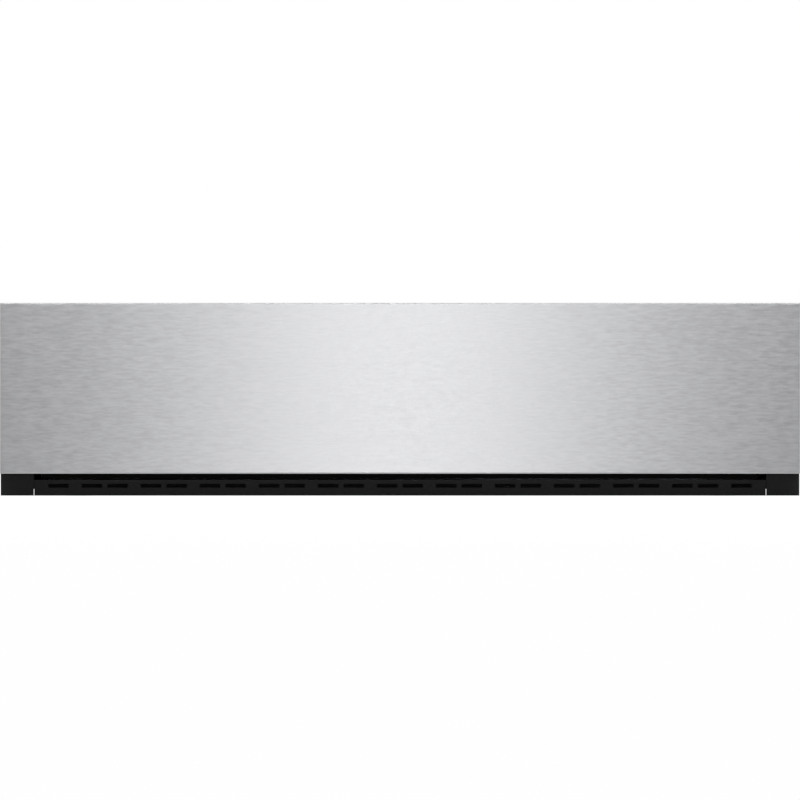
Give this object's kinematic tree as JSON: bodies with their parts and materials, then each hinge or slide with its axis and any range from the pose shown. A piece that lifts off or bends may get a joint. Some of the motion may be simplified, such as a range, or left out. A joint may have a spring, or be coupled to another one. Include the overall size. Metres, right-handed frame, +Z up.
{
  "type": "vacuum sealing drawer",
  "caption": "Built-in vacuum sealing drawer for a kitchen niche, with brushed steel front, black ventilation strip, ball slides, vacuum chamber with hinged glass lid, sealing bar and pump.",
  "frame": {"origin": "middle of the footprint, on the niche floor that the feet stand on", "axes": "X across the front, the front faces -Y, +Z up"},
  "size_m": [0.595, 0.57, 0.1437],
  "materials": {
    "panel_steel": "horizontal brushed stainless steel",
    "black_steel": "matt black powder coat",
    "black_plastic": "matt black plastic",
    "zinc_steel": "bright zinc-coated sheet",
    "chamber_steel": "satin deep-drawn stainless steel",
    "lid_glass": "clear toughened glass",
    "black_glass": "black printed glass",
    "silicone": "grey silicone",
    "black_rubber": "black rubber",
    "satin_aluminium": "satin anodised",
    "cast_aluminium": "die cast",
    "copper_winding": "enamelled winding on a steel core",
    "screw_steel": "bright screw steel",
    "circuit_board": "green laminate",
    "band_tape": "coated glass cloth"
  },
  "bodies": {
    "casing": {"casing_shell": "zinc_steel", "casing_top_cover": "zinc_steel", "cover_screws": "screw_steel", "casing_feet": "black_rubber", "flange_left": "black_steel", "flange_right": "black_steel", "vent_grille": "black_steel", "slide_outer_left": "zinc_steel", "slide_outer_right": "zinc_steel", "ejector_left": "black_plastic", "ejector_right": "black_plastic", "mains_inlet": "black_plastic"},
    "middle_rails": {"slide_middle_left": "zinc_steel", "slide_middle_right": "zinc_steel"},
    "outer_cages": {"cage_outer_left": "black_plastic", "cage_outer_right": "black_plastic"},
    "inner_cages": {"cage_inner_left": "black_plastic", "cage_inner_right": "black_plastic"},
    "plungers": {"ejector_plungers": "black_plastic"},
    "pump_rotor": {"motor_shaft": "screw_steel", "vane_rotor": "cast_aluminium"},
    "cooling_fan": {"fan_rotor": "black_plastic"},
    "lid": {"lid_glass": "lid_glass", "lid_seal": "silicone", "hinge_rail": "panel_steel", "counter_bar": "satin_aluminium", "counter_pad": "silicone", "lid_handle": "panel_steel"},
    "sealing_unit": {"sealing_bar": "satin_aluminium", "sealing_band": "band_tape", "lift_pins": "screw_steel"},
    "drawer": {"front_panel": "panel_steel", "front_carrier": "black_steel", "slide_inner_left": "zinc_steel", "slide_inner_right": "zinc_steel", "drawer_tub": "zinc_steel", "deck": "chamber_steel", "vacuum_chamber": "chamber_steel", "suction_nozzle": "satin_aluminium", "lift_cylinders": "black_plastic", "hinge_brackets": "chamber_steel", "hinge_pins": "screw_steel", "control_glass": "black_glass", "control_tray": "black_plastic", "display_board": "circuit_board", "pump_cradle": "zinc_steel", "rubber_mounts": "black_rubber", "pump_head": "cast_aluminium", "oil_sight_glass": "lid_glass", "motor_housing": "cast_aluminium", "motor_stator": "copper_winding", "fan_cowl": "black_plastic", "exhaust_filter": "black_steel", "transformer": "copper_winding", "power_board": "circuit_board", "solenoid_valves": "black_plastic", "vacuum_hoses": "silicone", "cooling_fan_frame": "black_plastic", "drawer_screws": "screw_steel"}
  },
  "joints": [
    {"name": "drawer_slide", "type": "slide", "parent": "casing", "child": "drawer", "axis": [0, -1, 0], "range_m": [-0.003, 0.42]},
    {"name": "middle_rails_slide", "type": "slide", "parent": "casing", "child": "middle_rails", "axis": [0, -1, 0], "range_m": [-0.0015, 0.21]},
    {"name": "outer_cages_roll", "type": "slide", "parent": "casing", "child": "outer_cages", "axis": [0, -1, 0], "range_m": [-0.00075, 0.105]},
    {"name": "inner_cages_roll", "type": "slide", "parent": "casing", "child": "inner_cages", "axis": [0, -1, 0], "range_m": [-0.00225, 0.315]},
    {"name": "plungers_push", "type": "slide", "parent": "casing", "child": "plungers", "axis": [0, -1, 0], "range_m": [-0.00024, 0.0336]},
    {"name": "lid_hinge", "type": "hinge", "parent": "drawer", "child": "lid", "pos_m": [0, 0.15, 0.1255], "axis": [-1, 0, 0], "range_deg": [0, 75]},
    {"name": "sealing_bar_lift", "type": "slide", "parent": "drawer", "child": "sealing_unit", "axis": [0, 0, 1], "range_m": [0, 0.006]},
    {"name": "pump_spin", "type": "hinge", "parent": "drawer", "child": "pump_rotor", "pos_m": [0, 0.181, 0.0675], "axis": [1, 0, 0], "continuous": true},
    {"name": "cooling_fan_spin", "type": "hinge", "parent": "drawer", "child": "cooling_fan", "pos_m": [0.2053, 0.227, 0.0635], "axis": [0, 1, 0], "continuous": true}
  ],
  "couplings": [
    {"joint": "middle_rails_slide", "follows": "drawer_slide", "ratio": 0.5},
    {"joint": "outer_cages_roll", "follows": "drawer_slide", "ratio": 0.25},
    {"joint": "inner_cages_roll", "follows": "drawer_slide", "ratio": 0.75},
    {"joint": "plungers_push", "follows": "drawer_slide", "ratio": 0.08}
  ]
}
